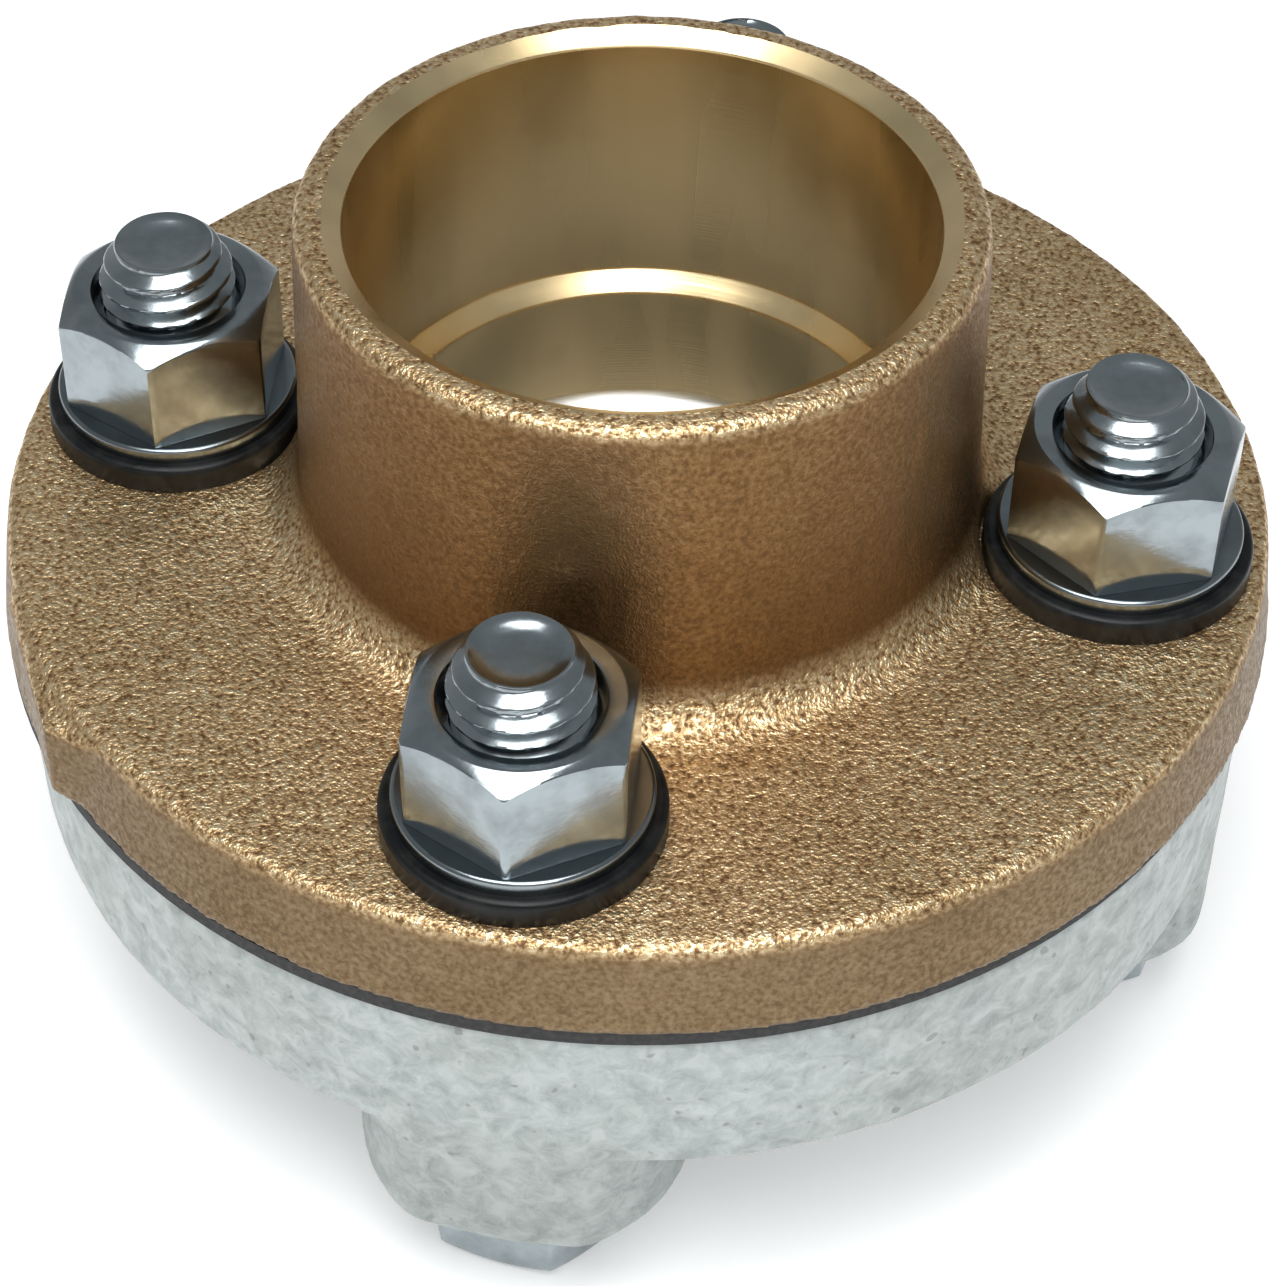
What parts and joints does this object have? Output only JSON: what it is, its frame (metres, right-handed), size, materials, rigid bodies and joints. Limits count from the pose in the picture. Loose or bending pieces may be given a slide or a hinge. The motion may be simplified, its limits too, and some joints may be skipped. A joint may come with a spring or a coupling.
{
  "type": "dielectric flange union",
  "caption": "Round flanged pipe union: a bronze solder-cup flange bolted to a galvanised iron threaded flange through insulating bushings and a gasket.",
  "frame": {"origin": "on the pipe axis, in the end face of the iron hub, which is the face it stands on", "axes": "+Z along the pipe axis, out of the mouth of the solder cup; the bolts lie at -102, -12, 78 and 168 degrees from +X"},
  "size_m": [0.1518, 0.1518, 0.1056],
  "materials": {
    "bronze": "sand-cast bronze, machined in the bore",
    "galvanised_iron": "hot-dip galvanised casting, satin grey",
    "gasket_rubber": "matte black",
    "insulating_plastic": "satin black moulding",
    "zinc_steel": "bright zinc plate"
  },
  "bodies": {
    "root": {"solder_flange": "bronze", "threaded_flange": "galvanised_iron", "insulating_gasket": "gasket_rubber", "insulating_bushing_1": "insulating_plastic", "insulating_bushing_2": "insulating_plastic", "insulating_bushing_3": "insulating_plastic", "insulating_bushing_4": "insulating_plastic", "washer_1": "zinc_steel", "washer_2": "zinc_steel", "washer_3": "zinc_steel", "washer_4": "zinc_steel"},
    "bolt_1_body": {"bolt_1": "zinc_steel"},
    "nut_1_body": {"nut_1": "zinc_steel"},
    "bolt_2_body": {"bolt_2": "zinc_steel"},
    "nut_2_body": {"nut_2": "zinc_steel"},
    "bolt_3_body": {"bolt_3": "zinc_steel"},
    "nut_3_body": {"nut_3": "zinc_steel"},
    "bolt_4_body": {"bolt_4": "zinc_steel"},
    "nut_4_body": {"nut_4": "zinc_steel"}
  },
  "joints": [
    {"name": "bolt_1_turn", "type": "hinge", "parent": "root", "child": "bolt_1_body", "pos_m": [-0.01183, -0.05565, 0.0109], "axis": [0, 0, -1], "range_deg": [0, 3060]},
    {"name": "nut_1_travel", "type": "slide", "parent": "root", "child": "nut_1_body", "axis": [0, 0, 1], "range_m": [0, 0.01963]},
    {"name": "bolt_2_turn", "type": "hinge", "parent": "root", "child": "bolt_2_body", "pos_m": [0.05565, -0.01183, 0.0109], "axis": [0, 0, -1], "range_deg": [0, 3060]},
    {"name": "nut_2_travel", "type": "slide", "parent": "root", "child": "nut_2_body", "axis": [0, 0, 1], "range_m": [0, 0.01963]},
    {"name": "bolt_3_turn", "type": "hinge", "parent": "root", "child": "bolt_3_body", "pos_m": [0.01183, 0.05565, 0.0109], "axis": [0, 0, -1], "range_deg": [0, 3060]},
    {"name": "nut_3_travel", "type": "slide", "parent": "root", "child": "nut_3_body", "axis": [0, 0, 1], "range_m": [0, 0.01963]},
    {"name": "bolt_4_turn", "type": "hinge", "parent": "root", "child": "bolt_4_body", "pos_m": [-0.05565, 0.01183, 0.0109], "axis": [0, 0, -1], "range_deg": [0, 3060]},
    {"name": "nut_4_travel", "type": "slide", "parent": "root", "child": "nut_4_body", "axis": [0, 0, 1], "range_m": [0, 0.01963]}
  ],
  "couplings": [
    {"joint": "nut_1_travel", "follows": "bolt_1_turn", "m_per_rad": 0.0003675},
    {"joint": "nut_2_travel", "follows": "bolt_2_turn", "m_per_rad": 0.0003675},
    {"joint": "nut_3_travel", "follows": "bolt_3_turn", "m_per_rad": 0.0003675},
    {"joint": "nut_4_travel", "follows": "bolt_4_turn", "m_per_rad": 0.0003675}
  ]
}
